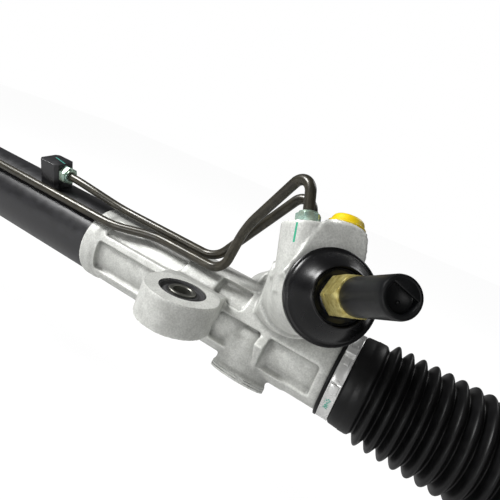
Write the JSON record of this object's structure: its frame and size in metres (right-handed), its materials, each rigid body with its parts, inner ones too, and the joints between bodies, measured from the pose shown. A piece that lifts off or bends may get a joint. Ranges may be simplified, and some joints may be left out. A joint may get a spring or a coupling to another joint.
{
  "type": "power steering rack",
  "caption": "Rack and pinion steering gear: cast housing with a leaning valve tower, steel cylinder with bent pipes, bellows boots and jointed tie rods.",
  "frame": {"origin": "centre of the bolt hole in the housing ear, halfway along its sleeve", "axes": "+X along the rack bar towards the pinion side tie rod, +Y from the ear bolt to the rack bar, +Z along the ear bolt, up"},
  "size_m": [1.206, 0.1686, 0.1346],
  "materials": {
    "cast_aluminium": "sand-cast, satin",
    "black_paint": "satin black",
    "turned_steel": "turned",
    "ground_steel": "ground and hardened",
    "forged_steel": "dark forged",
    "zinc_steel": "zinc plated",
    "yellow_zinc": "yellow zinc plated",
    "stainless": "satin band",
    "pipe_paint": "glossy olive black",
    "bush_rubber": "matte",
    "seal_rubber": "smooth",
    "boot_rubber": "moulded",
    "black_plastic": "glossy",
    "ring_ptfe": "filled fluoropolymer",
    "bearing_plastic": "natural",
    "guide_aluminium": "die cast",
    "yellow_plastic": "glossy",
    "blue_plastic": "glossy"
  },
  "bodies": {
    "housing": {"rack_housing": "cast_aluminium", "cylinder_tube": "black_paint", "end_stopper": "turned_steel", "inner_rod_seal": "seal_rubber", "end_rod_seal": "seal_rubber", "end_bushing": "bearing_plastic", "near_bush_rubber": "bush_rubber", "near_bush_sleeve": "zinc_steel", "far_bracket": "black_paint", "far_bush_rubber": "bush_rubber", "far_bush_sleeve": "zinc_steel", "near_port_block": "black_paint", "far_port_block": "black_paint", "long_pipe": "pipe_paint", "short_pipe": "pipe_paint", "flare_nuts": "zinc_steel", "dust_cover": "black_plastic", "input_seal": "seal_rubber", "upper_bearing": "ground_steel", "lower_bearing": "ground_steel", "bottom_cap": "turned_steel", "rack_guide": "guide_aluminium", "guide_liner": "ring_ptfe", "guide_spring": "forged_steel", "guide_plug": "turned_steel", "yellow_port_plug": "yellow_plastic", "blue_port_plug": "blue_plastic", "near_boot": "boot_rubber", "far_boot": "boot_rubber", "near_clamp": "stainless", "far_clamp": "stainless"},
    "rack": {"rack_bar": "ground_steel", "piston": "turned_steel", "piston_ring": "ring_ptfe", "near_socket": "forged_steel", "far_socket": "forged_steel", "near_lock_washer": "zinc_steel", "far_lock_washer": "zinc_steel"},
    "pinion_shaft": {"pinion": "turned_steel", "pinion_nut": "turned_steel", "torsion_bar": "turned_steel", "valve_sleeve": "turned_steel", "sleeve_rings": "ring_ptfe"},
    "input": {"input_shaft": "turned_steel", "hex_collar": "yellow_zinc", "spline_cap": "black_plastic"},
    "near_seat": {"near_ball_seat": "bearing_plastic"},
    "far_seat": {"far_ball_seat": "bearing_plastic"},
    "near_rod": {"near_tie_rod": "forged_steel", "near_jam_nut": "zinc_steel", "near_clip": "zinc_steel"},
    "far_rod": {"far_tie_rod": "forged_steel", "far_jam_nut": "zinc_steel", "far_clip": "zinc_steel"}
  },
  "joints": [
    {"name": "rack_slide", "type": "slide", "parent": "housing", "child": "rack", "axis": [1, 0, 0], "range_m": [-0.07, 0.07], "deforming": ["near_boot", "far_boot"]},
    {"name": "pinion_spin", "type": "hinge", "parent": "housing", "child": "pinion_shaft", "pos_m": [0.0334, 0.06376, 0.01103], "axis": [0.4384, -0.8211, 0.3656], "range_deg": [-361, 361]},
    {"name": "valve_twist", "type": "hinge", "parent": "pinion_shaft", "child": "input", "pos_m": [0.0334, 0.06376, 0.01103], "axis": [0.4384, -0.8211, 0.3656], "range_deg": [-4, 4], "stiffness_Nm_per_rad": 80},
    {"name": "near_rod_swing", "type": "hinge", "parent": "rack", "child": "near_seat", "pos_m": [0.176, 0.054, -0.0109], "axis": [0, 1, 0], "range_deg": [-20, 20], "deforming": ["near_boot"]},
    {"name": "near_rod_steer", "type": "hinge", "parent": "near_seat", "child": "near_rod", "pos_m": [0.176, 0.054, -0.0109], "axis": [0, 0, 1], "range_deg": [-20, 20], "deforming": ["near_boot"]},
    {"name": "far_rod_swing", "type": "hinge", "parent": "rack", "child": "far_seat", "pos_m": [-0.47, 0.054, -0.0109], "axis": [0, 1, 0], "range_deg": [-20, 20], "deforming": ["far_boot"]},
    {"name": "far_rod_steer", "type": "hinge", "parent": "far_seat", "child": "far_rod", "pos_m": [-0.47, 0.054, -0.0109], "axis": [0, 0, 1], "range_deg": [-20, 20], "deforming": ["far_boot"]}
  ],
  "couplings": [
    {"joint": "pinion_spin", "follows": "rack_slide", "rad_per_m": 89.879}
  ]
}
